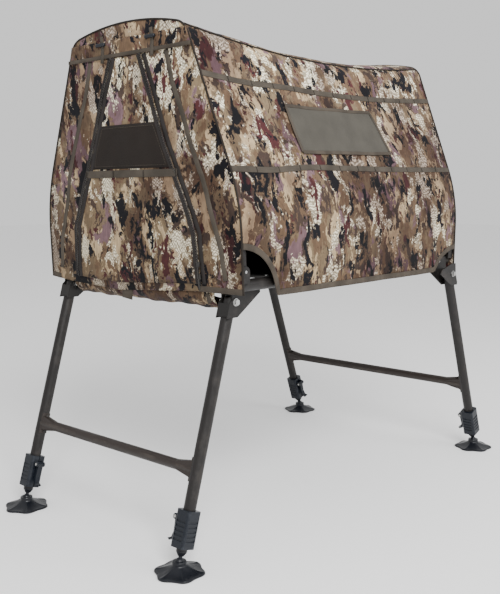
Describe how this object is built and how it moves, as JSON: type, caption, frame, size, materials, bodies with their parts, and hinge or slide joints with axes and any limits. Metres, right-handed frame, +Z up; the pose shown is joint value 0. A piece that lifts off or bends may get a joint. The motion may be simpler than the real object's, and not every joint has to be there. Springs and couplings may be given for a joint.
{
  "type": "raised folding field blind",
  "caption": "Camouflage fabric cabin on folding bows over a steel-tube platform with folding, telescoping legs and swivel mud feet.",
  "frame": {"origin": "on the ground under the middle of the object", "axes": "+Z up, +Y along the length towards the closed rear end (the door end faces -Y), +X across to the right when looking at +Y"},
  "size_m": [0.7378, 1.224, 1.0997],
  "materials": {
    "frame_paint": "matte charcoal-brown powder coat",
    "inner_tube_steel": "satin dark coat",
    "bracket_steel": "matte folded sheet steel",
    "dark_rivet": "painted rivet",
    "zinc_fastener": "bright zinc",
    "lock_plastic": "moulded, fine grain",
    "foot_plastic": "moulded, slightly scuffed",
    "camo_fabric": "printed camouflage canvas",
    "deck_fabric": "coated deck cloth",
    "window_fabric": "plain smooth panel cloth",
    "patch_fabric": "dark brown patch cloth"
  },
  "bodies": {
    "platform": {"left_side_rail": "frame_paint", "right_side_rail": "frame_paint", "front_rail": "frame_paint", "rear_rail": "frame_paint", "deck_cross_tubes": "frame_paint", "rail_end_caps": "foot_plastic", "deck_sheet": "deck_fabric", "deck_screws": "zinc_fastener", "front_left_leg_bracket": "bracket_steel", "front_right_leg_bracket": "bracket_steel", "rear_left_leg_bracket": "bracket_steel", "rear_right_leg_bracket": "bracket_steel", "bracket_rivets": "zinc_fastener", "leg_pivot_bolts": "zinc_fastener", "leg_pivot_nuts": "zinc_fastener", "bow_brackets": "bracket_steel", "bow_pivot_pins": "zinc_fastener", "roof_panel": "camo_fabric", "left_side_panel": "camo_fabric", "right_side_panel": "camo_fabric", "side_windows": "window_fabric", "front_skirt": "camo_fabric"},
    "front_leg_frame": {"front_left_leg_tube": "frame_paint", "front_right_leg_tube": "frame_paint", "front_crossbar": "frame_paint", "front_crossbar_rivets": "dark_rivet", "front_left_lock_body": "lock_plastic", "front_right_lock_body": "lock_plastic", "front_lock_pins": "zinc_fastener"},
    "rear_leg_frame": {"rear_left_leg_tube": "frame_paint", "rear_right_leg_tube": "frame_paint", "rear_crossbar": "frame_paint", "rear_crossbar_rivets": "dark_rivet", "rear_left_lock_body": "lock_plastic", "rear_right_lock_body": "lock_plastic", "rear_lock_pins": "zinc_fastener"},
    "front_left_lower_leg": {"front_left_lower_tube": "inner_tube_steel", "front_left_ball_stud": "foot_plastic"},
    "front_left_lever_body": {"front_left_lever": "lock_plastic"},
    "front_left_foot_body": {"front_left_foot": "foot_plastic"},
    "front_right_lower_leg": {"front_right_lower_tube": "inner_tube_steel", "front_right_ball_stud": "foot_plastic"},
    "front_right_lever_body": {"front_right_lever": "lock_plastic"},
    "front_right_foot_body": {"front_right_foot": "foot_plastic"},
    "rear_left_lower_leg": {"rear_left_lower_tube": "inner_tube_steel", "rear_left_ball_stud": "foot_plastic"},
    "rear_left_lever_body": {"rear_left_lever": "lock_plastic"},
    "rear_left_foot_body": {"rear_left_foot": "foot_plastic"},
    "rear_right_lower_leg": {"rear_right_lower_tube": "inner_tube_steel", "rear_right_ball_stud": "foot_plastic"},
    "rear_right_lever_body": {"rear_right_lever": "lock_plastic"},
    "rear_right_foot_body": {"rear_right_foot": "foot_plastic"},
    "front_bow": {"front_bow_tube": "frame_paint", "front_wall": "camo_fabric", "top_band": "camo_fabric"},
    "door": {"door_panel": "camo_fabric", "door_patch": "patch_fabric"},
    "rear_bow": {"rear_bow_tube": "frame_paint", "rear_wall": "camo_fabric"}
  },
  "joints": [
    {"name": "front_leg_fold", "type": "hinge", "parent": "platform", "child": "front_leg_frame", "pos_m": [0, -0.40904, 0.522], "axis": [1, 0, 0], "range_deg": [0, 94]},
    {"name": "rear_leg_fold", "type": "hinge", "parent": "platform", "child": "rear_leg_frame", "pos_m": [0, 0.38294, 0.522], "axis": [-1, 0, 0], "range_deg": [0, 103]},
    {"name": "front_left_leg_extend", "type": "slide", "parent": "front_leg_frame", "child": "front_left_lower_leg", "axis": [0, -0.289, -0.9573], "range_m": [0, 0.2]},
    {"name": "front_left_foot_swivel", "type": "hinge", "parent": "front_left_lower_leg", "child": "front_left_foot_body", "pos_m": [-0.2645, -0.56, 0.022], "axis": [1, 0, 0], "range_deg": [-15, 15]},
    {"name": "front_left_lock_lever", "type": "hinge", "parent": "front_leg_frame", "child": "front_left_lever_body", "pos_m": [-0.2395, -0.53572, 0.10242], "axis": [0, 0.9573, -0.289], "range_deg": [-110, 0]},
    {"name": "front_right_leg_extend", "type": "slide", "parent": "front_leg_frame", "child": "front_right_lower_leg", "axis": [0, -0.289, -0.9573], "range_m": [0, 0.2]},
    {"name": "front_right_foot_swivel", "type": "hinge", "parent": "front_right_lower_leg", "child": "front_right_foot_body", "pos_m": [0.2645, -0.56, 0.022], "axis": [1, 0, 0], "range_deg": [-15, 15]},
    {"name": "front_right_lock_lever", "type": "hinge", "parent": "front_leg_frame", "child": "front_right_lever_body", "pos_m": [0.2395, -0.53572, 0.10242], "axis": [0, -0.9573, 0.289], "range_deg": [-110, 0]},
    {"name": "rear_left_leg_extend", "type": "slide", "parent": "rear_leg_frame", "child": "rear_left_lower_leg", "axis": [0, 0.3338, -0.9426], "range_m": [0, 0.2]},
    {"name": "rear_left_foot_swivel", "type": "hinge", "parent": "rear_left_lower_leg", "child": "rear_left_foot_body", "pos_m": [-0.3215, 0.56, 0.022], "axis": [1, 0, 0], "range_deg": [-15, 15]},
    {"name": "rear_left_lock_lever", "type": "hinge", "parent": "rear_leg_frame", "child": "rear_left_lever_body", "pos_m": [-0.2965, 0.53196, 0.10118], "axis": [0, 0.9426, 0.3338], "range_deg": [-110, 0]},
    {"name": "rear_right_leg_extend", "type": "slide", "parent": "rear_leg_frame", "child": "rear_right_lower_leg", "axis": [0, 0.3338, -0.9426], "range_m": [0, 0.2]},
    {"name": "rear_right_foot_swivel", "type": "hinge", "parent": "rear_right_lower_leg", "child": "rear_right_foot_body", "pos_m": [0.3215, 0.56, 0.022], "axis": [1, 0, 0], "range_deg": [-15, 15]},
    {"name": "rear_right_lock_lever", "type": "hinge", "parent": "rear_leg_frame", "child": "rear_right_lever_body", "pos_m": [0.2965, 0.53196, 0.10118], "axis": [0, -0.9426, -0.3338], "range_deg": [-110, 0]},
    {"name": "front_bow_fold", "type": "hinge", "parent": "platform", "child": "front_bow", "pos_m": [0, -0.412, 0.585], "axis": [-1, 0, 0], "range_deg": [0, 92], "deforming": ["roof_panel", "left_side_panel", "right_side_panel", "side_windows"]},
    {"name": "rear_bow_fold", "type": "hinge", "parent": "platform", "child": "rear_bow", "pos_m": [0, 0.412, 0.585], "axis": [1, 0, 0], "range_deg": [0, 81]},
    {"name": "door_lift", "type": "hinge", "parent": "front_bow", "child": "door", "pos_m": [0, -0.44481, 1.02893], "axis": [1, 0, 0], "range_deg": [-150, 0]}
  ],
  "couplings": [
    {"joint": "rear_bow_fold", "follows": "front_bow_fold", "ratio": 0.88043}
  ]
}
